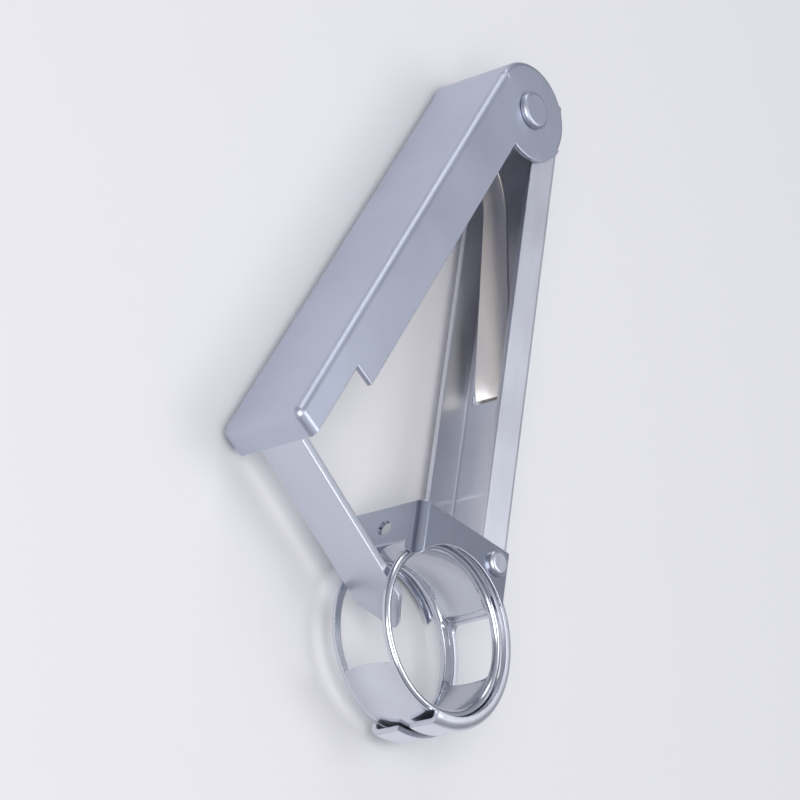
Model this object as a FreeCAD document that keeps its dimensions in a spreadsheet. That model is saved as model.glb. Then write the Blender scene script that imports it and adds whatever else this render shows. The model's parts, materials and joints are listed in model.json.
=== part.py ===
import FreeCAD, Part
import os

# A hand-held cherry pitter of folded sheet metal, lying on its side.
# The hinge axis runs along Z, the hinge end is at +X, the cup end at -X,
# and the lever opens towards +Y. All sizes are millimetres.

doc = FreeCAD.newDocument("cherry_pitter")
sheet = doc.addObject("Spreadsheet::Sheet", "dims")

driving = [
    ("hinge_x", 53.5, "hinge axis, along the body"),
    ("back_y", -25.07, "plane of the body's straight back"),
    ("mid_z", 9.4, "middle of the width"),
    ("cup_reach", 99.5, "hinge axis to the middle of the cup"),
    ("lever_short", 7.0, "lever's end face before the cup's middle"),
    ("lever_reach", "=cup_reach - lever_short", "hinge axis to the lever's end face"),
    ("tail_length", 17.5, "flange step to the lever's end face"),
    ("tail_start", "=lever_reach - tail_length", "hinge axis to the step in the flanges"),
    ("foot_length", 18.5, "plunger foot's end to the lever's end face"),
    ("foot_start", "=lever_reach - foot_length", "hinge axis to the plunger foot's end"),
    ("rivet_one_back", 14.0, "first plunger rivet to the lever's end face"),
    ("rivet_two_back", 8.0, "second plunger rivet to the lever's end face"),
    ("plunger_rivet_one", "=lever_reach - rivet_one_back", "hinge axis to the first plunger rivet"),
    ("plunger_rivet_two", "=lever_reach - rivet_two_back", "hinge axis to the second plunger rivet"),
    ("exit_lead", 8.7, "near end of the stone exit before the cup's middle"),
    ("exit_start", "=cup_reach - exit_lead", "hinge axis to the near end of the stone exit"),
    ("entry_lead", 13.0, "near end of the cup's entry before its middle"),
    ("entry_start", "=cup_reach - entry_lead", "hinge axis to the near end of the cup's entry"),
    ("fork_lead", 11.3, "root of the fork before the cup's middle"),
    ("fork_start", "=cup_reach - fork_lead", "hinge axis to the root of the fork"),
    ("eye_lead", 14.3, "eye in the stripper plate before the cup's middle"),
    ("eye_reach", "=cup_reach - eye_lead", "hinge axis to the eye in the stripper plate"),
    ("gauge", 1.0, "thickness of the folded sheet"),
    ("bend", 1.6, "outside radius of a fold"),
    ("body_width", 14.0, "outside width of the body channel"),
    ("body_depth", 7.0, "depth of the body channel"),
    ("pivot_rise", 10.0, "hinge axis above the body's back"),
    ("ear_radius", 6.3, "body ear around the hinge"),
    ("side_gap", 0.3, "running gap between body and lever, each side"),
    ("lever_rise", 9.0, "lever's outer face above the hinge axis"),
    ("lever_depth", 9.5, "depth of the lever's flanges"),
    ("tail_depth", 5.4, "depth of the flanges past the step"),
    ("cap_drop", 1.5, "rounded head cap below the hinge axis"),
    ("open_angle", 23.5, "lever above the body at rest"),
    ("pin_radius", 2.0, "hinge pin shaft"),
    ("pin_play", 0.05, "running gap around the hinge pin"),
    ("pin_head", 3.4, "radius of the hinge pin's heads"),
    ("head_height", 1.0, "height of a formed head"),
    ("head_gap", 0.1, "gap under the hinge pin's heads"),
    ("sleeve_radius", 3.1, "spacer sleeve between the body ears"),
    ("cup_rise", 12.0, "middle of the cup above the body's back"),
    ("cup_radius", 15.3, "outside radius of the dished cup"),
    ("cup_wall", 1.1, "wall of the dished cup"),
    ("cup_width", 10.4, "width of the dished cup between its rims"),
    ("rim_radius", 0.75, "rolled rim of the cup's side openings"),
    ("cradle_gap", 0.2, "gap between cup and cradle"),
    ("lip_rise", 0.2, "cradle's lip above the cup's middle"),
    ("cradle_lip", "=cup_rise + lip_rise", "height of the cradle's lip above the back"),
    ("rim_inset", 1.0, "cradle's side walls inside the cup's radius"),
    ("cradle_rim", "=cup_radius - rim_inset", "inside radius of the cradle's side walls"),
    ("slit_width", 2.4, "slit in the cradle's lip"),
    ("slit_depth", 9.0, "depth of that slit"),
    ("exit_length", 11.2, "stone exit along the body"),
    ("passage", 4.9, "half width of the openings the plunger passes"),
    ("passage_corner", 1.4, "corner radius of the stone exit"),
    ("entry_length", 23.0, "cup's entry along the body"),
    ("plate_back", 2.7, "stripper's edge past the cup's near side"),
    ("plate_start", "=cup_reach - cup_radius - plate_back", "hinge axis to the stripper's edge"),
    ("plate_sink", 4.0, "stripper plate's outer face below the cup's front"),
    ("plate_rise", "=cup_rise + cup_radius - plate_sink", "plate's outer face above the back"),
    ("plate_length", 16.0, "stripper along the body"),
    ("cheek_length", 14.0, "stripper's side cheeks along the body"),
    ("cheek_foot", 1.2, "cheek's lower edge above the back"),
    ("cheek_cover", 2.1, "cheek's round edge inside the cradle's side walls"),
    ("eye_radius", 1.3, "eye in the stripper plate"),
    ("bracket_gap", 0.3, "gap between stripper and cup"),
    ("rivet_radius", 1.3, "small rivet shank"),
    ("rivet_head", 2.3, "small rivet head"),
    ("cheek_rivet_inset", 0.4, "cheek rivets inside the cup's near side"),
    ("cheek_rivet_reach", "=cup_reach - cup_radius + cheek_rivet_inset", "hinge axis to the cheek rivets"),
    ("cheek_rivet_rise", 4.2, "cheek rivets above the back"),
    ("strip_width", 8.6, "plunger strip"),
    ("strip_gauge", 1.6, "thickness of the plunger strip"),
    ("strip_lean", 6.0, "plunger's lean away from the hinge"),
    ("strip_drop", 33.0, "plunger from its bend to the point's root"),
    ("point_length", 5.5, "plunger's point"),
    ("point_flat", 0.9, "width of the point's end"),
    ("end_gap", 0.4, "gap between plunger and the lever's end wall"),
    ("leaf_gauge", 0.7, "thickness of the leaf spring"),
    ("leaf_width", 9.0, "leaf spring at its root"),
    ("leaf_end_width", 3.4, "leaf spring at its free end"),
    ("slot_reach", 49.0, "hinge axis to the spring slot in the body"),
    ("slot_length", 1.6, "spring slot along the body"),
    ("leaf_tail", 7.0, "spring's tail behind the body"),
    ("leaf_angle", 9.2, "spring's straight run, degrees off the body"),
    ("leaf_run", 33.0, "length of the spring's straight run"),
    ("leaf_curl", 15.0, "inside radius of the spring's curl"),
    ("curl_angle", 75.0, "degrees of the spring's curl"),
]
for row, (alias, value, words) in enumerate(driving, start=1):
    sheet.set("A%d" % row, alias)
    sheet.set("B%d" % row, str(value))
    sheet.set("C%d" % row, words)
    sheet.setAlias("B%d" % row, alias)
doc.recompute()

touching = 0.01
across = FreeCAD.Vector(0, 0, 1)
upright = FreeCAD.Rotation(FreeCAD.Vector(1, 0, 0), -90)


def size(alias):
    return getattr(sheet, alias)


def bind(thing, values):
    for path, words in values.items():
        thing.setExpression(path, words)
    return thing


def seat(thing, x, y, z, turn=None):
    if turn is not None:
        thing.Placement = FreeCAD.Placement(FreeCAD.Vector(), turn)
    return bind(thing, {
        "Placement.Base.x": x,
        "Placement.Base.y": y,
        "Placement.Base.z": z,
    })


def spun(thing, degrees):
    thing.Placement = FreeCAD.Placement(FreeCAD.Vector(), FreeCAD.Rotation(across, degrees))
    return thing


def box(name, corner, spans):
    block = doc.addObject("Part::Box", name)
    bind(block, dict(zip(("Length", "Width", "Height"), spans)))
    return seat(block, *corner)


def rod(name, foot, radius, length, turn=None):
    bar = doc.addObject("Part::Cylinder", name)
    bind(bar, {"Radius": radius, "Height": length})
    return seat(bar, *foot, turn)


def ball(name, centre, radius):
    globe = doc.addObject("Part::Sphere", name)
    bind(globe, {"Radius": radius})
    return seat(globe, *centre)


def joined(name, *pieces):
    whole = doc.addObject("Part::MultiFuse", name)
    whole.Shapes = list(pieces)
    whole.Refine = True
    return whole


def less(name, base, *tools):
    whole = doc.addObject("Part::Cut", name)
    whole.Base = base
    whole.Tool = tools[0] if len(tools) == 1 else joined(name + "_tools", *tools)
    whole.Refine = True
    return whole


def shared(name, *pieces):
    whole = doc.addObject("Part::MultiCommon", name)
    whole.Shapes = list(pieces)
    return whole


def folded(name, base, wanted, radius):
    # Rounds the edges of the base that the test picks.
    doc.recompute()
    soft = doc.addObject("Part::Fillet", name)
    soft.Base = base
    edges = base.Shape.Edges
    soft.Edges = [(i, radius, radius) for i, e in enumerate(edges, start=1) if wanted(e)]
    return soft


def long_edge_at(y):
    def test(edge):
        ends = [v.Point for v in edge.Vertexes]
        along = len(ends) == 2 and abs(ends[0].x - ends[1].x) > size("body_width") * 2
        return along and abs(ends[0].y - y) < touching and abs(ends[1].y - y) < touching
    return test


def end_edge_at(x):
    def test(edge):
        ends = [v.Point for v in edge.Vertexes]
        return all(abs(p.x - x) < touching for p in ends) and max(p.y for p in ends) > 0
    return test


def upright_edge(edge):
    ends = [v.Point for v in edge.Vertexes]
    return len(ends) == 2 and abs(ends[0].y - ends[1].y) > size("bend")


def ring_edge(edge):
    return isinstance(edge.Curve, Part.Circle)


def at(reach):
    return "dims.hinge_x - (%s)" % reach


def up(rise):
    return "dims.back_y + (%s)" % rise


def side(offset):
    return "dims.mid_z + (%s)" % offset


cup_x = at("dims.cup_reach")
cup_y = up("dims.cup_rise")
cradle = "(dims.cup_radius + dims.cradle_gap + dims.gauge)"
inner_width = "(dims.body_width - 2 * dims.gauge)"
lever_width = "(dims.body_width + 2 * dims.side_gap + 2 * dims.gauge)"
lever_inside = "(dims.body_width + 2 * dims.side_gap)"
bracket_width = "(dims.body_width + 2 * dims.gauge)"
inner_bend = size("bend") - size("gauge")
dome_radius = 0.8 * size("head_height")


def passage_block(name, start, length, low, high):
    return box(
        name,
        (at("%s + %s" % (start, length)), up(low), side("-dims.passage")),
        (length, "(%s) - (%s)" % (high, low), "2 * dims.passage"),
    )


def body_channel():
    # A straight channel that bulges into a round cradle at the cup end.
    run = box(
        "body_run",
        (at("dims.cup_reach"), up("0"), side("-dims.body_width / 2")),
        ("dims.cup_reach + dims.ear_radius", "dims.body_depth", "dims.body_width"),
    )
    run = folded("body_run_folds", run, long_edge_at(size("back_y")), size("bend"))
    ear = rod(
        "body_ear",
        (at("0"), up("dims.pivot_rise"), side("-dims.body_width / 2")),
        "dims.ear_radius",
        "dims.body_width",
    )
    neck = box(
        "body_neck",
        (at("dims.ear_radius"), up("dims.bend"), side("-dims.body_width / 2")),
        ("2 * dims.ear_radius", "dims.pivot_rise - dims.bend", "dims.body_width"),
    )
    bulge = rod(
        "cradle_drum",
        (cup_x, cup_y, side("-dims.body_width / 2")),
        cradle,
        "dims.body_width",
    )
    bulge = folded("cradle_folds", bulge, ring_edge, size("bend"))
    outside = joined("body_outside", run, ear, neck, bulge)

    hollow = box(
        "body_hollow",
        (at("dims.cup_reach"), up("dims.gauge"), side("-%s / 2" % inner_width)),
        ("dims.cup_reach + 2 * dims.ear_radius", "2 * dims.cup_radius", inner_width),
    )
    hollow = folded(
        "body_hollow_folds", hollow, long_edge_at(size("back_y") + size("gauge")), inner_bend
    )
    drum = rod(
        "cradle_hollow",
        (cup_x, cup_y, side("-%s / 2" % inner_width)),
        cradle + " - dims.gauge",
        inner_width,
    )
    drum = folded("cradle_hollow_folds", drum, ring_edge, inner_bend)
    window = rod(
        "cradle_window",
        (cup_x, cup_y, side("-dims.body_width")),
        "dims.cradle_rim",
        "2 * dims.body_width",
    )
    above = box(
        "above_lip",
        (at("dims.cup_reach + 2 * dims.cup_radius"), up("dims.cradle_lip"), side("-dims.body_width")),
        ("4 * dims.cup_radius", "2 * dims.cup_radius", "2 * dims.body_width"),
    )
    slit = box(
        "lip_slit",
        (at("dims.cup_reach + 2 * dims.cup_radius"), up("dims.cradle_lip - dims.slit_depth"),
         side("-dims.slit_width / 2")),
        ("2 * dims.cup_radius", "2 * dims.slit_depth", "dims.slit_width"),
    )
    leave = passage_block(
        "body_exit", "dims.exit_start", "dims.exit_length", "-dims.cup_radius", "dims.cup_rise / 2"
    )
    leave = folded("body_exit_corners", leave, upright_edge, size("passage_corner"))
    pin_hole = rod(
        "body_pin_hole",
        (at("0"), up("dims.pivot_rise"), side("-dims.body_width")),
        "dims.pin_radius",
        "2 * dims.body_width",
    )
    spring_slot = box(
        "spring_slot",
        (at("dims.slot_reach + dims.slot_length"), up("-dims.gauge"),
         side("-dims.leaf_width / 2 - dims.side_gap")),
        ("dims.slot_length", "3 * dims.gauge", "dims.leaf_width + 2 * dims.side_gap"),
    )
    rivet_hole = rod(
        "body_rivet_hole",
        (at("dims.cheek_rivet_reach"), up("dims.cheek_rivet_rise"), side("-dims.body_width")),
        "dims.rivet_radius",
        "2 * dims.body_width",
    )
    return less(
        "body_channel", outside, hollow, drum, window, above, slit, leave, pin_hole,
        spring_slot, rivet_hole,
    )


def cherry_cup():
    # A dished ring, open at both sides, with rolled rims.
    outer = ball("cup_outer", (cup_x, cup_y, "dims.mid_z"), "dims.cup_radius")
    inner = ball("cup_inner", (cup_x, cup_y, "dims.mid_z"), "dims.cup_radius - dims.cup_wall")
    slab = box(
        "cup_slab",
        (at("dims.cup_reach + 2 * dims.cup_radius"), up("dims.cup_rise - 2 * dims.cup_radius"),
         side("-dims.cup_width / 2")),
        ("4 * dims.cup_radius", "4 * dims.cup_radius", "dims.cup_width"),
    )
    wall = less("cup_wall_ring", shared("cup_zone", outer, slab), inner)
    rims = []
    for name, way in (("cup_rim_low", "-"), ("cup_rim_high", "+")):
        rim = doc.addObject("Part::Torus", name)
        middle = "(dims.cup_radius - dims.cup_wall / 2)"
        bind(rim, {
            "Radius1": "sqrt(%s * %s - dims.cup_width * dims.cup_width / 4)" % (middle, middle),
            "Radius2": "dims.rim_radius",
        })
        rims.append(seat(rim, cup_x, cup_y, side(way + "dims.cup_width / 2")))
    entry = passage_block(
        "cup_entry", "dims.entry_start", "dims.entry_length", "dims.cup_rise + dims.gauge",
        "dims.cup_rise + 2 * dims.cup_radius",
    )
    leave = passage_block(
        "cup_exit", "dims.exit_start", "dims.exit_length", "-dims.cup_radius", "dims.cup_rise / 2"
    )
    leave = folded("cup_exit_corners", leave, upright_edge, size("passage_corner"))
    return less("cherry_cup", joined("cup_ring", wall, *rims), entry, leave)


def stripper_bracket():
    # A saddle over the body, forked around the plunger.
    block = box(
        "bracket_block",
        (at("dims.plate_start + dims.plate_length"), up("dims.cheek_foot"),
         side("-%s / 2" % bracket_width)),
        ("dims.plate_length", "dims.plate_rise - dims.cheek_foot", bracket_width),
    )
    block = folded(
        "bracket_folds", block,
        lambda e: len(e.Vertexes) == 2
        and abs(e.Vertexes[0].X - e.Vertexes[1].X) > size("bend")
        and abs(e.Vertexes[0].Y - size("back_y") - size("plate_rise")) < touching,
        size("bend"),
    )
    hollow = box(
        "bracket_hollow",
        (at("dims.plate_start + 2 * dims.plate_length"), up("-dims.gauge"), side("-dims.body_width / 2")),
        ("3 * dims.plate_length", "dims.plate_rise", "dims.body_width"),
    )
    hollow = folded(
        "bracket_hollow_folds", hollow,
        lambda e: len(e.Vertexes) == 2
        and abs(e.Vertexes[0].X - e.Vertexes[1].X) > size("bend")
        and abs(e.Vertexes[0].Y - size("back_y") - size("plate_rise") + size("gauge")) < touching,
        inner_bend,
    )
    trim = box(
        "cheek_trim",
        (at("dims.plate_start + 2 * dims.plate_length"), up("-dims.gauge"), side("-dims.body_width")),
        ("2 * dims.plate_length - dims.cheek_length", "dims.plate_rise - dims.gauge",
         "2 * dims.body_width"),
    )
    room = ball("bracket_room", (cup_x, cup_y, "dims.mid_z"), "dims.cup_radius + dims.bracket_gap")
    window = rod(
        "cheek_window",
        (cup_x, cup_y, side("-dims.body_width")),
        "dims.cradle_rim - dims.cheek_cover",
        "2 * dims.body_width",
    )
    fork = passage_block(
        "fork_gap", "dims.fork_start", "dims.plate_length", "dims.cup_rise", "2 * dims.plate_rise"
    )
    eye = rod(
        "bracket_eye",
        (at("dims.eye_reach"), up("dims.cup_rise"), side("0")),
        "dims.eye_radius",
        "dims.plate_rise",
        upright,
    )
    rivet_hole = rod(
        "bracket_rivet_hole",
        (at("dims.cheek_rivet_reach"), up("dims.cheek_rivet_rise"), side("-dims.body_width")),
        "dims.rivet_radius",
        "2 * dims.body_width",
    )
    return less(
        "stripper_bracket", block, hollow, trim, room, window, fork, eye, rivet_hole
    )


def outer_ring(offset):
    # Picks the ring edge that lies this far from the middle of the width.
    def test(edge):
        return ring_edge(edge) and abs(abs(edge.Vertexes[0].Z - size("mid_z")) - offset) < touching
    return test


def cheek_rivet(name, way):
    # A shank through cheek and flange, with a low domed head outside.
    inside = "(dims.body_width / 2 - dims.gauge)"
    outside = "(dims.body_width / 2 + dims.gauge)"
    reach, rise = at("dims.cheek_rivet_reach"), up("dims.cheek_rivet_rise")
    if way > 0:
        shank_foot, head_foot = side(inside), side(outside)
    else:
        shank_foot, head_foot = side("-" + outside), side("-%s - dims.head_height" % outside)
    shank = rod(name + "_shank", (reach, rise, shank_foot), "dims.rivet_radius", "2 * dims.gauge")
    head = rod(name + "_head", (reach, rise, head_foot), "dims.rivet_head", "dims.head_height")
    top = size("body_width") / 2 + size("gauge") + size("head_height")
    return joined(name, shank, folded(name + "_dome", head, outer_ring(top), dome_radius))


def hinge_pin():
    # The pin passes the lever's ears, the body's ears and the sleeve.
    half = "(%s / 2 + dims.head_gap)" % lever_width
    shaft = rod(
        "pin_shaft",
        (at("0"), up("dims.pivot_rise"), side("-" + half)),
        "dims.pin_radius",
        "2 * " + half,
    )
    heads = []
    for name, foot in (("low", side("-%s - dims.head_height" % half)), ("high", side(half))):
        head = rod(
            "pin_head_" + name, (at("0"), up("dims.pivot_rise"), foot), "dims.pin_head",
            "dims.head_height",
        )
        top = size("body_width") / 2 + size("side_gap") + size("gauge")
        top += size("head_gap") + size("head_height")
        heads.append(folded("pin_dome_" + name, head, outer_ring(top), dome_radius))
    return joined("hinge_pin", shaft, *heads)


def spacer_sleeve():
    tube = rod(
        "sleeve_tube",
        (at("0"), up("dims.pivot_rise"), side("-%s / 2" % inner_width)),
        "dims.sleeve_radius",
        inner_width,
    )
    bore = rod(
        "sleeve_bore",
        (at("0"), up("dims.pivot_rise"), side("-dims.body_width")),
        "dims.pin_radius",
        "2 * dims.body_width",
    )
    return less("spacer_sleeve", tube, bore)


def on_lever(thing):
    # Carries what is drawn along the X axis to the lever's open place.
    bind(thing, {
        "Placement.Base.x": at("0"),
        "Placement.Base.y": up("dims.pivot_rise"),
        "Placement.Base.z": "dims.mid_z",
        "Placement.Rotation.Angle": "dims.open_angle",
    })
    thing.Placement = FreeCAD.Placement(FreeCAD.Vector(), FreeCAD.Rotation(FreeCAD.Vector(0, 0, -1), 1))
    return thing


def lever():
    # Drawn flat along -X from the hinge axis, then turned open.
    half = "(%s / 2)" % lever_width
    bar = box(
        "lever_bar",
        ("-dims.lever_reach", "-dims.lever_rise", "-" + half),
        ("dims.lever_reach", "2 * dims.lever_rise", lever_width),
    )
    along, across_end = long_edge_at(size("lever_rise")), end_edge_at(-size("lever_reach"))
    bar = folded("lever_bar_folds", bar, lambda e: along(e) or across_end(e), size("bend"))
    hollow = box(
        "lever_hollow",
        ("-dims.lever_reach + dims.gauge", "-2 * dims.lever_rise", "-%s / 2" % lever_inside),
        ("dims.lever_reach + dims.lever_rise", "3 * dims.lever_rise - dims.gauge", lever_inside),
    )
    within = long_edge_at(size("lever_rise") - size("gauge"))
    within_end = end_edge_at(size("gauge") - size("lever_reach"))
    hollow = folded("lever_hollow_folds", hollow, lambda e: within(e) or within_end(e), inner_bend)
    section = less("lever_section", bar, hollow)
    deep = box(
        "lever_deep",
        ("-dims.tail_start", "dims.lever_rise - dims.lever_depth", "-" + half),
        ("dims.tail_start", "dims.lever_depth", lever_width),
    )
    tail = box(
        "lever_tail",
        ("-dims.lever_reach", "dims.lever_rise - dims.tail_depth", "-" + half),
        ("dims.lever_reach", "dims.tail_depth", lever_width),
    )
    ear = rod("lever_ear", ("0", "0", "-" + half), "dims.lever_rise", lever_width)
    channel = shared("lever_channel", section, joined("lever_outline", deep, tail, ear))

    head = rod("head_drum", ("0", "0", "-" + half), "dims.lever_rise", lever_width)
    head = folded("head_folds", head, ring_edge, size("bend") * 0.6)
    head_half = box(
        "head_half",
        ("0", "-dims.lever_rise", "-" + half),
        ("dims.lever_rise", "2 * dims.lever_rise", lever_width),
    )
    head_hollow = rod(
        "head_hollow", ("0", "0", "-%s / 2" % lever_inside), "dims.lever_rise - dims.gauge",
        lever_inside,
    )
    head_open = box(
        "head_open",
        ("-dims.lever_rise", "-2 * dims.lever_rise", "-%s / 2" % lever_inside),
        ("3 * dims.lever_rise", "2 * dims.lever_rise - dims.cap_drop", lever_inside),
    )
    cap = less("lever_cap", shared("head_round", head, head_half), head_hollow, head_open)

    pin_hole = rod(
        "lever_pin_hole", ("0", "0", "-dims.body_width"), "dims.pin_radius + dims.pin_play",
        "2 * dims.body_width",
    )
    holes = [
        lever_rivet_solid("lever_hole_one", "dims.plunger_rivet_one"),
        lever_rivet_solid("lever_hole_two", "dims.plunger_rivet_two"),
    ]
    whole = less("lever", joined("lever_solid", channel, cap), pin_hole, *holes)
    return on_lever(whole)


def lever_rivet_solid(name, reach):
    # Countersunk in the lever's web, with a small foot under the plunger.
    shank = rod(
        name + "_shank",
        ("-(%s)" % reach, "dims.lever_rise - dims.gauge - dims.strip_gauge", "0"),
        "dims.rivet_radius",
        "dims.gauge + dims.strip_gauge",
        upright,
    )
    cone = doc.addObject("Part::Cone", name + "_cone")
    bind(cone, {
        "Radius1": "dims.rivet_radius",
        "Radius2": "dims.rivet_head",
        "Height": "dims.gauge",
    })
    seat(cone, "-(%s)" % reach, "dims.lever_rise - dims.gauge", "0", upright)
    return joined(name, shank, cone)


def plunger_rivet(name, reach):
    solid = lever_rivet_solid(name + "_stem", reach)
    foot = rod(
        name + "_foot",
        ("-(%s)" % reach, "dims.lever_rise - dims.gauge - dims.strip_gauge - dims.head_height / 2", "0"),
        "dims.rivet_head - dims.rivet_radius / 3",
        "dims.head_height / 2",
        upright,
    )
    return on_lever(joined(name, solid, foot))


def plunger_arm():
    # A flat foot under the lever's web, a bend and a leaning pointed strip.
    under = "dims.lever_rise - dims.gauge"
    outer_x = "-dims.lever_reach + dims.gauge + dims.end_gap"
    foot = box(
        "plunger_foot",
        (outer_x + " + 2 * dims.strip_gauge", under + " - dims.strip_gauge", "-dims.strip_width / 2"),
        ("dims.lever_reach - dims.gauge - dims.end_gap - 2 * dims.strip_gauge - dims.foot_start",
         "dims.strip_gauge", "dims.strip_width"),
    )
    knee = rod(
        "plunger_knee",
        (outer_x + " + 2 * dims.strip_gauge", under + " - 2 * dims.strip_gauge", "-dims.strip_width / 2"),
        "2 * dims.strip_gauge",
        "dims.strip_width",
    )
    knee_bore = rod(
        "plunger_knee_bore",
        (outer_x + " + 2 * dims.strip_gauge", under + " - 2 * dims.strip_gauge", "-dims.strip_width"),
        "dims.strip_gauge",
        "2 * dims.strip_width",
    )
    knee.setExpression("Angle", "90 - dims.strip_lean")
    spun(knee, 90)
    bend = less("plunger_bend", knee, knee_bore)

    pivot = (outer_x + " + 2 * dims.strip_gauge", under + " - 2 * dims.strip_gauge", "0")
    blade = box(
        "plunger_blade",
        ("-2 * dims.strip_gauge", "-dims.strip_drop", "-dims.strip_width / 2"),
        ("dims.strip_gauge", "dims.strip_drop", "dims.strip_width"),
    )
    point = doc.addObject("Part::Wedge", "plunger_point")
    bind(point, {
        "Xmin": "-2 * dims.strip_gauge", "Xmax": "-dims.strip_gauge",
        "X2min": "-2 * dims.strip_gauge", "X2max": "-dims.strip_gauge",
        "Ymin": "-dims.strip_drop - dims.point_length", "Ymax": "-dims.strip_drop",
        "Zmin": "-dims.point_flat / 2", "Zmax": "dims.point_flat / 2",
        "Z2min": "-dims.strip_width / 2", "Z2max": "dims.strip_width / 2",
    })
    blade = joined("plunger_blade_pointed", blade, point)
    seat(spun(blade, -size("strip_lean")), *pivot)
    holes = [
        lever_rivet_solid("foot_hole_one", "dims.plunger_rivet_one"),
        lever_rivet_solid("foot_hole_two", "dims.plunger_rivet_two"),
    ]
    return on_lever(less("plunger_arm", joined("plunger_solid", foot, bend, blade), *holes))


def leaf_spring():
    # A tail behind the body, a straight run inside it and a curl up to the lever.
    root_x = at("dims.slot_reach + dims.slot_length / 2")
    tail = box(
        "leaf_tail_strip",
        (at("dims.slot_reach + dims.slot_length / 2 + dims.leaf_tail"), up("-dims.leaf_gauge"),
         side("-dims.leaf_width / 2")),
        ("dims.leaf_tail + dims.leaf_gauge / 2", "dims.leaf_gauge", "dims.leaf_width"),
    )
    riser = box(
        "leaf_riser",
        (root_x + " - dims.leaf_gauge / 2", up("-dims.leaf_gauge"), side("-dims.leaf_width / 2")),
        ("dims.leaf_gauge", "dims.gauge + 2 * dims.leaf_gauge", "dims.leaf_width"),
    )
    run = box(
        "leaf_run_strip", ("0", "0", "-dims.leaf_width / 2"),
        ("dims.leaf_run", "dims.leaf_gauge", "dims.leaf_width"),
    )
    curl = rod(
        "leaf_curl_drum", ("dims.leaf_run", "dims.leaf_gauge + dims.leaf_curl", "-dims.leaf_width / 2"),
        "dims.leaf_curl + dims.leaf_gauge",
        "dims.leaf_width",
    )
    curl.setExpression("Angle", "dims.curl_angle")
    spun(curl, -90)
    curl_bore = rod(
        "leaf_curl_bore", ("dims.leaf_run", "dims.leaf_gauge + dims.leaf_curl", "-dims.leaf_width"),
        "dims.leaf_curl",
        "2 * dims.leaf_width",
    )
    blade = joined("leaf_blade", run, less("leaf_curl_strip", curl, curl_bore))
    spun(blade, size("leaf_angle"))
    seat(blade, root_x + " - dims.leaf_gauge / 2", up("dims.gauge"), "dims.mid_z")
    taper = doc.addObject("Part::Wedge", "leaf_taper")
    bind(taper, {
        "Xmin": "-dims.slot_reach", "Xmax": "dims.slot_reach",
        "X2min": "-dims.slot_reach", "X2max": "dims.slot_reach",
        "Ymin": "-dims.leaf_tail * 2", "Ymax": "dims.slot_reach",
        "Zmin": "-dims.leaf_width / 2", "Zmax": "dims.leaf_width / 2",
        "Z2min": "-dims.leaf_end_width / 2", "Z2max": "dims.leaf_end_width / 2",
    })
    seat(spun(taper, -90), root_x, up("0"), "dims.mid_z")
    return shared("leaf_spring", joined("leaf_whole", tail, riser, blade), taper)


nodes = [
    body_channel(),
    cherry_cup(),
    stripper_bracket(),
    cheek_rivet("cheek_rivet_high", 1),
    cheek_rivet("cheek_rivet_low", -1),
    hinge_pin(),
    spacer_sleeve(),
    leaf_spring(),
    lever(),
    plunger_arm(),
    plunger_rivet("plunger_rivet_near", "dims.plunger_rivet_one"),
    plunger_rivet("plunger_rivet_far", "dims.plunger_rivet_two"),
]
doc.recompute()

for thing in doc.Objects:
    if {"Invalid", "Error"} & set(thing.State):
        raise RuntimeError("%s did not compute" % thing.Name)
for node in nodes:
    node.Label = node.Name
    if node.Shape.isNull() or not node.Shape.isValid():
        raise RuntimeError("%s has no sound shape" % node.Name)

whole = FreeCAD.BoundBox()
os.makedirs("parts", exist_ok=True)
for node in nodes:
    solids = node.Shape.Solids
    whole.add(node.Shape.BoundBox)
    print(node.Name, len(solids), "solid", round(node.Shape.Volume, 2))
    node.Shape.exportStep("parts/%s.step" % node.Name)
print("overall", [round(v, 3) for v in (whole.XLength, whole.YLength, whole.ZLength)])
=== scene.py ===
import json
import math

import bpy
from mathutils import Matrix, Vector
from mathutils.bvhtree import BVHTree


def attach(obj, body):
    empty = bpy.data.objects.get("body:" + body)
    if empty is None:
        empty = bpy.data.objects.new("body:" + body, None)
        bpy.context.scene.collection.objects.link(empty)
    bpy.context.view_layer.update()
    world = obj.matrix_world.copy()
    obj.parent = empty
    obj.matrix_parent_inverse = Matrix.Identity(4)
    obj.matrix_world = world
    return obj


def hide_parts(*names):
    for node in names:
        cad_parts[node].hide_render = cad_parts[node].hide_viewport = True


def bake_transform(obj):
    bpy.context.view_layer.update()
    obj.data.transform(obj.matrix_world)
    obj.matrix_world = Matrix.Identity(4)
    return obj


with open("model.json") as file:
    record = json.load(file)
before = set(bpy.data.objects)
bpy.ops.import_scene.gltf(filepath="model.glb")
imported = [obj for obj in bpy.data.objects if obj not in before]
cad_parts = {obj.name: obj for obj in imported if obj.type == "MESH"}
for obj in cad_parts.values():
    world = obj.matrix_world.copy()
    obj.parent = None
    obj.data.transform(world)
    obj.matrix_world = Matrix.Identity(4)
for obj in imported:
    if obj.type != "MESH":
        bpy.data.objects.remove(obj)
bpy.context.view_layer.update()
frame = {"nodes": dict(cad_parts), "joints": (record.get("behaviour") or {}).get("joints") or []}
print("frame loaded")

mm = 0.001
hinge = Vector(frame["joints"][0]["pos_m"])
openAngle = math.radians(23.5)  # lever above the body at rest


def setMode(mode):
    bpy.ops.object.mode_set(mode=mode)


def deselectAll():
    if bpy.context.object and bpy.context.object.mode != "OBJECT":
        setMode("OBJECT")
    bpy.ops.object.select_all(action="DESELECT")


def pick(piece):
    deselectAll()
    piece.select_set(True)
    bpy.context.view_layer.objects.active = piece


def applyAll(piece):
    pick(piece)
    for modifier in list(piece.modifiers):
        bpy.ops.object.modifier_apply(modifier=modifier.name)


def paintWith(piece, *materials):
    piece.data.materials.clear()
    for material in materials:
        piece.data.materials.append(material)


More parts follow.
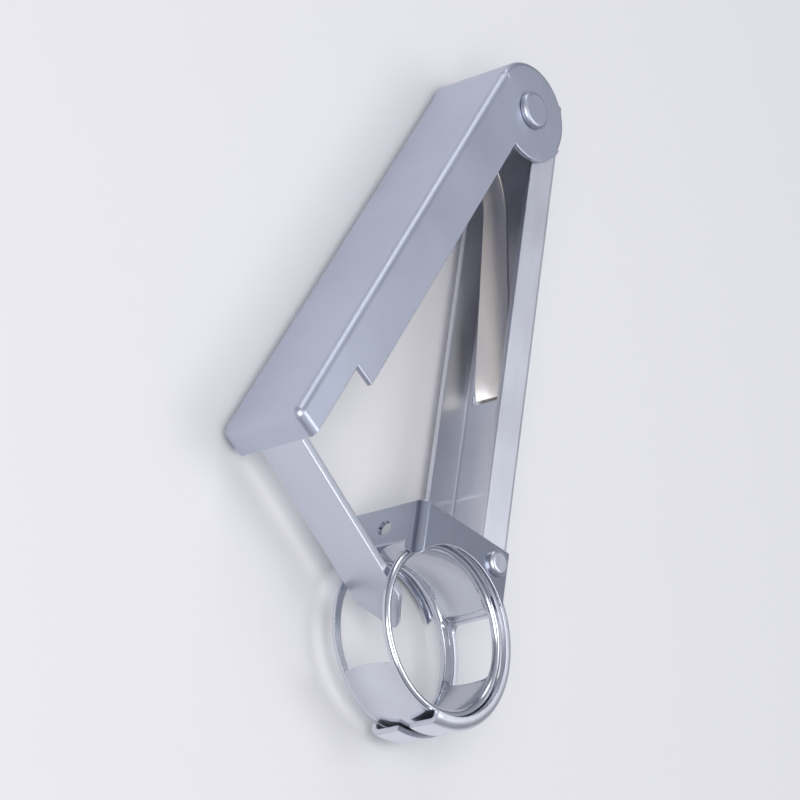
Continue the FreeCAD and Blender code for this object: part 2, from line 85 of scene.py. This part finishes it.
def smoothBelow(piece, degrees):
    pick(piece)
    bpy.ops.object.shade_smooth_by_angle(angle=math.radians(degrees))


def bevelEdges(piece, width, degrees):
    bevel = piece.modifiers.new("edges", "BEVEL")
    bevel.width = width * mm
    bevel.segments = 2
    bevel.limit_method = "ANGLE"
    bevel.angle_limit = math.radians(degrees)
    return bevel


# metals: colour, roughness, turn of the rolling grain, strength of the grain, clouding,
# unevenness of the gloss
metals = {
    "leverSheet": ((0.55, 0.575, 0.675), 0.42, -openAngle, 0.022, 0.05, 0.10),
    # body: the lever's satin aluminium, painted lighter to match how bright its lit flange
    # looks: painted light
    "bodySheetPaintedLight": ((0.80, 0.81, 0.87), 0.40, 0.0, 0.022, 0.06, 0.12),
    "cupSheet": ((0.68, 0.70, 0.76), 0.19, 0.0, 0.012, 0.05, 0.20),
    # saddle: darker, partly its own tone and partly painted shade for its shadowed cheek
    "saddleSheetPaintedShade": ((0.48, 0.51, 0.60), 0.15, 0.0, 0.010, 0.05, 0.18),
    "plungerSteel": ((0.65, 0.67, 0.75), 0.32, -openAngle - math.pi / 2, 0.006, 0.03, 0.12),
    "springSteel": ((0.95, 0.90, 0.85), 0.34, 0.0, 0.006, 0.025, 0.10),
    "rivetSteel": ((0.56, 0.58, 0.65), 0.34, 0.0, 0.010, 0.04, 0.12),
    "rubbedEdge": ((0.66, 0.68, 0.76), 0.30, 0.0, 0.010, 0.04, 0.15),
}

grainPattern = {
    "linesAlong": 110, "linesAcross": 2400,  # waves per metre
    "clouds": 60.0, "specks": 1500.0,
    "palette": (0.3, 0.7), "glossFrom": (0.35, 0.65),
    "lineShare": 0.6, "cloudShare": 0.4, "speckShare": 0.4,
    "depth": 0.02,  # millimetres
}

# millimetres
pressedLine = {
    "place": -15.0, "halfWidth": 0.45, "halfLength": 5.4, "depth": 0.08, "floorTop": -22.6,
}


def addNode(tree, kind, **values):
    node = tree.nodes.new(kind)
    for name, value in values.items():
        node.inputs[name.replace("_", " ")].default_value = value
    return node


def math2(tree, operation, a, b=0.0):
    # a and b are sockets or numbers
    node = tree.nodes.new("ShaderNodeMath")
    node.operation = operation
    for socket, value in zip(node.inputs, (a, b)):
        if isinstance(value, (int, float)):
            socket.default_value = value
        else:
            tree.links.new(value, socket)
    return node.outputs["Value"]


def noiseOf(tree, place, scale, detail):
    noise = addNode(tree, "ShaderNodeTexNoise", Scale=scale, Detail=detail)
    tree.links.new(place.outputs["Vector"], noise.inputs["Vector"])
    return noise.outputs["Fac"]


def makeMetal(name, colour, roughness, turn, grain, clouding, uneven):
    finish = bpy.data.materials.new(name)
    finish.use_nodes = True
    tree = finish.node_tree
    links = tree.links
    shader = tree.nodes["Principled BSDF"]
    shader.inputs["Metallic"].default_value = 1.0
    place = tree.nodes.new("ShaderNodeTexCoord")
    turned = addNode(tree, "ShaderNodeMapping", Rotation=(0, 0, turn))
    links.new(place.outputs["Object"], turned.inputs["Vector"])

    # rolling lines run along the sheet
    across = grainPattern["linesAcross"]
    stretched = (grainPattern["linesAlong"], across, across)
    drawn = addNode(tree, "ShaderNodeMapping", Scale=stretched)
    links.new(turned.outputs["Vector"], drawn.inputs["Vector"])
    lines = noiseOf(tree, drawn, 1.0, 3.0)
    cloud = noiseOf(tree, turned, grainPattern["clouds"], 4.0)
    speck = noiseOf(tree, turned, grainPattern["specks"], 2.0)

    shade = tree.nodes.new("ShaderNodeValToRGB")
    dark, pale = shade.color_ramp.elements
    dark.position, pale.position = grainPattern["palette"]
    dark.color = (*[c * (1 - clouding) for c in colour], 1)
    pale.color = (*[min(1, c * (1 + clouding)) for c in colour], 1)
    links.new(cloud, shade.inputs["Fac"])
    links.new(shade.outputs["Color"], shader.inputs["Base Color"])

    # gloss follows the lines and the clouds
    both = math2(tree, "ADD", math2(tree, "MULTIPLY", lines, grainPattern["lineShare"]),
                 math2(tree, "MULTIPLY", cloud, grainPattern["cloudShare"]))
    lowest, highest = grainPattern["glossFrom"]
    gloss = addNode(tree, "ShaderNodeMapRange", From_Min=lowest, From_Max=highest,
                    To_Min=roughness * (1 - uneven), To_Max=roughness * (1 + uneven))
    links.new(both, gloss.inputs["Value"])
    links.new(gloss.outputs["Result"], shader.inputs["Roughness"])

    height = math2(tree, "ADD", lines,
                   math2(tree, "MULTIPLY", speck, grainPattern["speckShare"]))
    fine = addNode(tree, "ShaderNodeBump", Strength=grain * 10,
                   Distance=grainPattern["depth"] * mm)
    links.new(height, fine.inputs["Height"])
    links.new(fine.outputs["Normal"], shader.inputs["Normal"])
    return finish


def pressLine(finish):
    # a shallow line pressed across the body's floor, ahead of the cup
    tree = finish.node_tree
    shader = tree.nodes["Principled BSDF"]
    fine = shader.inputs["Normal"].links[0].from_node
    place = tree.nodes["Texture Coordinate"]
    split = tree.nodes.new("ShaderNodeSeparateXYZ")
    tree.links.new(place.outputs["Object"], split.inputs["Vector"])
    offset = math2(tree, "SUBTRACT", split.outputs["X"], pressedLine["place"] * mm)
    away = math2(tree, "ABSOLUTE", offset)
    near = addNode(tree, "ShaderNodeMapRange",
                   From_Min=0.0, From_Max=pressedLine["halfWidth"] * mm, To_Min=1.0, To_Max=0.0)
    near.interpolation_type = "SMOOTHSTEP"
    tree.links.new(away, near.inputs["Value"])
    low = math2(tree, "LESS_THAN", split.outputs["Y"], pressedLine["floorTop"] * mm)
    aside = math2(tree, "ABSOLUTE", math2(tree, "SUBTRACT", split.outputs["Z"], hinge.z))
    within = math2(tree, "LESS_THAN", aside, pressedLine["halfLength"] * mm)
    there = math2(tree, "MULTIPLY", low, within)
    line = addNode(tree, "ShaderNodeBump", Strength=1.0, Distance=pressedLine["depth"] * mm)
    tree.links.new(math2(tree, "MULTIPLY", near.outputs["Result"], there), line.inputs["Height"])
    tree.links.new(fine.outputs["Normal"], line.inputs["Normal"])
    tree.links.new(line.outputs["Normal"], shader.inputs["Normal"])


finishes = {name: makeMetal(name, *setting) for name, setting in metals.items()}
pressLine(finishes["bodySheetPaintedLight"])
print("finishes made")


# folded pieces: piece, then node, body, slot, finish, width and least angle of the broken edges
sheets = {
    "bodyShell": ("body_channel", "body", "satin_aluminium", "bodySheetPaintedLight", 0.16, 55),
    "cupRing": ("cherry_cup", "body", "bright_cup", "cupSheet", 0.08, 40),
    "saddle": ("stripper_bracket", "body", "bright_bracket", "saddleSheetPaintedShade", 0.14, 40),
    "leverShell": ("lever", "lever_arm", "satin_aluminium", "leverSheet", 0.16, 55),
    "plungerStrip": ("plunger_arm", "lever_arm", "plunger_steel", "plungerSteel", 0.18, 40),
}

sheetMesh = {
    "merge": 0.002,  # points closer than this become one, in millimetres
    "flatBelow": 0.3,  # faces that meet at less become one, in degrees
    "smoothBelow": 35,  # degrees
    "flatWeight": 90,  # how far the large faces settle the shading
    "strayLimit": 0.1,  # a bevel's corner never leaves the sheet by more, in millimetres
}


def pullBack(piece, source):
    # corners where many short edges meet throw a few bevel points off the sheet
    surface = BVHTree.FromPolygons([v.co for v in source.vertices],
                                   [tuple(f.vertices) for f in source.polygons])
    pulled = 0
    for v in piece.data.vertices:
        spot, normal, face, away = surface.find_nearest(v.co)
        if away > sheetMesh["strayLimit"] * mm:
            v.co = spot
            pulled += 1
    return pulled


def brokenEdges(nodeName, pieceName, body, finish, edge, angle):
    source = frame["nodes"][nodeName].data
    piece = bpy.data.objects.new(pieceName, source.copy())
    bpy.context.scene.collection.objects.link(piece)
    paintWith(piece, finish, finishes["rubbedEdge"])
    pick(piece)
    setMode("EDIT")
    bpy.ops.mesh.select_all(action="SELECT")
    bpy.ops.mesh.customdata_custom_splitnormals_clear()
    bpy.ops.mesh.remove_doubles(threshold=sheetMesh["merge"] * mm)
    bpy.ops.mesh.dissolve_limited(angle_limit=math.radians(sheetMesh["flatBelow"]))
    setMode("OBJECT")
    bevel = bevelEdges(piece, edge, angle)
    bevel.use_clamp_overlap = False
    bevel.material = 1  # rubbedEdge
    applyAll(piece)
    print("  %s: %d points pulled back" % (pieceName, pullBack(piece, source)))
    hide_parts(nodeName)
    smoothBelow(piece, sheetMesh["smoothBelow"])
    flat = piece.modifiers.new("flat", "WEIGHTED_NORMAL")
    flat.weight = sheetMesh["flatWeight"]
    flat.keep_sharp = True
    applyAll(piece)
    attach(piece, body)


for pieceName, (nodeName, body, slot, finish, edge, angle) in sheets.items():
    brokenEdges(nodeName, pieceName, body, finishes[finish], edge, angle)
print("sheet pieces made")

# turned pieces stay as the frame has them
carried = {
    "cheek_rivet_high": "rivetSteel",
    "cheek_rivet_low": "rivetSteel",
    "hinge_pin": "leverSheet",
    "spacer_sleeve": "rivetSteel",
    "plunger_rivet_near": "leverSheet",
    "plunger_rivet_far": "leverSheet",
}
for nodeName, finish in carried.items():
    for slot in frame["nodes"][nodeName].material_slots:
        slot.material = finishes[finish]
print("rivets and pin finished")


# leaf spring, one bent strip, in millimetres and degrees
leaf = {
    "back": -25.07, "root": 3.7, "gauge": 0.7, "sheet": 1.0,
    "tail": 7.0, "tailParts": (0, 2, 4, 6),
    "slope": 9.2, "run": 33.0, "runSteps": 12, "curl": 15.0, "turn": 75.0, "curlSteps": 22,
    "widthAt": (9.0, 3.4), "widthFrom": -14.0, "widthTo": 49.0,
    "edge": 0.12, "edgeAngle": 50, "smoothBelow": 40,
    "firmPoints": 8,  # points from the tail's end that stay with the body
}


def leafLine():
    # the strip's middle line
    half = leaf["gauge"] / 2
    back, root = leaf["back"], leaf["root"]
    points = [(root - leaf["tail"] + i, back - half) for i in leaf["tailParts"]]
    points += [(root - 0.15, back - 0.2), (root, back + 0.2), (root, back + leaf["sheet"] - 0.1)]
    slope = math.radians(leaf["slope"])
    start = Vector((root - half, back + leaf["sheet"]))
    along = Vector((math.cos(slope), math.sin(slope)))
    upwards = Vector((-math.sin(slope), math.cos(slope)))
    for i in range(1, leaf["runSteps"] + 1):
        spot = start + along * (leaf["run"] * i / leaf["runSteps"]) + upwards * half
        points.append((spot.x, spot.y))
    centre = start + along * leaf["run"] + upwards * (leaf["gauge"] + leaf["curl"])
    radius = leaf["curl"] + half
    for i in range(1, leaf["curlSteps"] + 1):
        angle = math.radians(leaf["slope"] - 90 + leaf["turn"] * i / leaf["curlSteps"])
        points.append((centre.x + radius * math.cos(angle), centre.y + radius * math.sin(angle)))
    return points


def leafHalfWidth(x):
    share = (x - leaf["root"] - leaf["widthFrom"]) / (leaf["widthTo"] - leaf["widthFrom"])
    wide, narrow = leaf["widthAt"]
    return (wide + (narrow - wide) * share) / 2


def makeLeaf():
    points = leafLine()
    x, y = points[0]
    middle = hinge.z

    # one edge across the tail's end, left over from a plane
    deselectAll()
    bpy.ops.mesh.primitive_plane_add(size=1, location=(0, 0, 0))
    piece = bpy.context.object
    piece.name = "leafStrip"
    setMode("EDIT")
    bpy.ops.mesh.select_all(action="SELECT")
    bpy.ops.mesh.delete(type="ONLY_FACE")
    setMode("OBJECT")
    for v in piece.data.vertices:
        v.select = v.co.x > 0
    setMode("EDIT")
    bpy.ops.mesh.delete(type="VERT")
    setMode("OBJECT")
    across = leafHalfWidth(x) * mm
    for v in piece.data.vertices:
        v.co = (x * mm, y * mm, middle + (across if v.co.y > 0 else -across))
        v.select = True

    setMode("EDIT")
    bpy.ops.mesh.select_mode(type="EDGE")
    bpy.ops.mesh.select_all(action="SELECT")
    for (x0, y0), (x1, y1) in zip(points, points[1:]):
        bpy.ops.mesh.extrude_region_move(
            TRANSFORM_OT_translate={"value": ((x1 - x0) * mm, (y1 - y0) * mm, 0)})
        ratio = leafHalfWidth(x1) / leafHalfWidth(x0)
        bpy.ops.transform.resize(value=(1, 1, ratio), center_override=(x1 * mm, y1 * mm, middle))
    setMode("OBJECT")

    wall = piece.modifiers.new("wall", "SOLIDIFY")
    wall.thickness = leaf["gauge"] * mm
    wall.offset = 0
    wall.use_even_offset = True
    bevelEdges(piece, leaf["edge"], leaf["edgeAngle"])
    applyAll(piece)
    setMode("EDIT")
    bpy.ops.mesh.select_all(action="SELECT")
    bpy.ops.mesh.normals_make_consistent(inside=False)
    setMode("OBJECT")
    paintWith(piece, finishes["springSteel"])
    smoothBelow(piece, leaf["smoothBelow"])
    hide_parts("leaf_spring")
    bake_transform(piece)


makeLeaf()
print("leaf spring made")


floor = {
    "size": 3.0, "drop": 0.00002,
    "colour": (0.84, 0.83, 0.85, 1), "roughness": 0.75, "shine": 0.2,
}

room = {
    "low": (0.17, 0.18, 0.22, 1), "high": (0.60, 0.62, 0.67, 1), "highAt": 0.9, "strength": 0.8,
}

lights = {
    # name: place, width, height, watts, colour
    "keyPanel": ((-0.30, 0.42, 0.62), 0.55, 0.55, 3.3, (1.0, 0.99, 0.97)),
    "topPanel": ((0.08, -0.33, 0.66), 0.38, 0.38, 1.15, (0.97, 0.98, 1.0)),
    "hingePanel": ((0.70, 0.25, 0.35), 0.30, 0.45, 0.9, (0.97, 0.98, 1.0)),
}

camera = {
    "up": (0.8756, 0.4331, 0.2144),
    "towards": (-0.4664, 0.6417, 0.6090),
    "aim": (-0.00567, -0.00499, 0.00581),
    "distance": 0.6,
    "lens": 163.0,
    "sensor": 36,
}


def paleFloor():
    deselectAll()
    bpy.ops.mesh.primitive_plane_add(size=floor["size"], location=(0, 0, -floor["drop"]))
    plane = bpy.context.object
    plane.name = "paleFloor"
    paint = bpy.data.materials.new("floorPaper")
    paint.use_nodes = True
    shader = paint.node_tree.nodes["Principled BSDF"]
    shader.inputs["Base Color"].default_value = floor["colour"]
    shader.inputs["Roughness"].default_value = floor["roughness"]
    shader.inputs["Specular IOR Level"].default_value = floor["shine"]
    plane.data.materials.append(paint)


def softWorld():
    # a pale room: lighter above, a little darker near the floor
    world = bpy.data.worlds.new("paleRoom")
    bpy.context.scene.world = world
    world.use_nodes = True
    tree = world.node_tree
    back = tree.nodes["Background"]
    place = tree.nodes.new("ShaderNodeTexCoord")
    split = tree.nodes.new("ShaderNodeSeparateXYZ")
    tree.links.new(place.outputs["Generated"], split.inputs["Vector"])
    ramp = tree.nodes.new("ShaderNodeValToRGB")
    low, high = ramp.color_ramp.elements
    low.position, high.position = 0.0, room["highAt"]
    low.color, high.color = room["low"], room["high"]
    tree.links.new(split.outputs["Z"], ramp.inputs["Fac"])
    tree.links.new(ramp.outputs["Color"], back.inputs["Color"])
    back.inputs["Strength"].default_value = room["strength"]


def panel(name, spot, width, height, watts, colour):
    deselectAll()
    bpy.ops.object.light_add(type="AREA", location=spot)
    lamp = bpy.context.object
    lamp.name = name
    lamp.data.shape = "RECTANGLE"
    lamp.data.size = width
    lamp.data.size_y = height
    lamp.data.energy = watts
    lamp.data.color = colour
    lamp.rotation_euler = (-Vector(spot)).to_track_quat("-Z", "Y").to_euler()


def photoCamera():
    upwards, towards = (Vector(camera[k]) for k in ("up", "towards"))
    towards.normalize()
    right = upwards.cross(towards).normalized()
    upwards = towards.cross(right)
    bpy.ops.object.camera_add()
    eye = bpy.context.object
    eye.name = "photoCamera"
    turn = Matrix((right, upwards, towards)).transposed().to_4x4()
    spot = Vector(camera["aim"]) + towards * camera["distance"]
    eye.matrix_world = Matrix.Translation(spot) @ turn
    eye.data.lens = camera["lens"]
    eye.data.sensor_width = camera["sensor"]
    bpy.context.scene.camera = eye


paleFloor()
softWorld()
for name, setting in lights.items():
    panel(name, *setting)
photoCamera()
bpy.context.scene.view_settings.view_transform = "Standard"
print("floor, light and camera set")
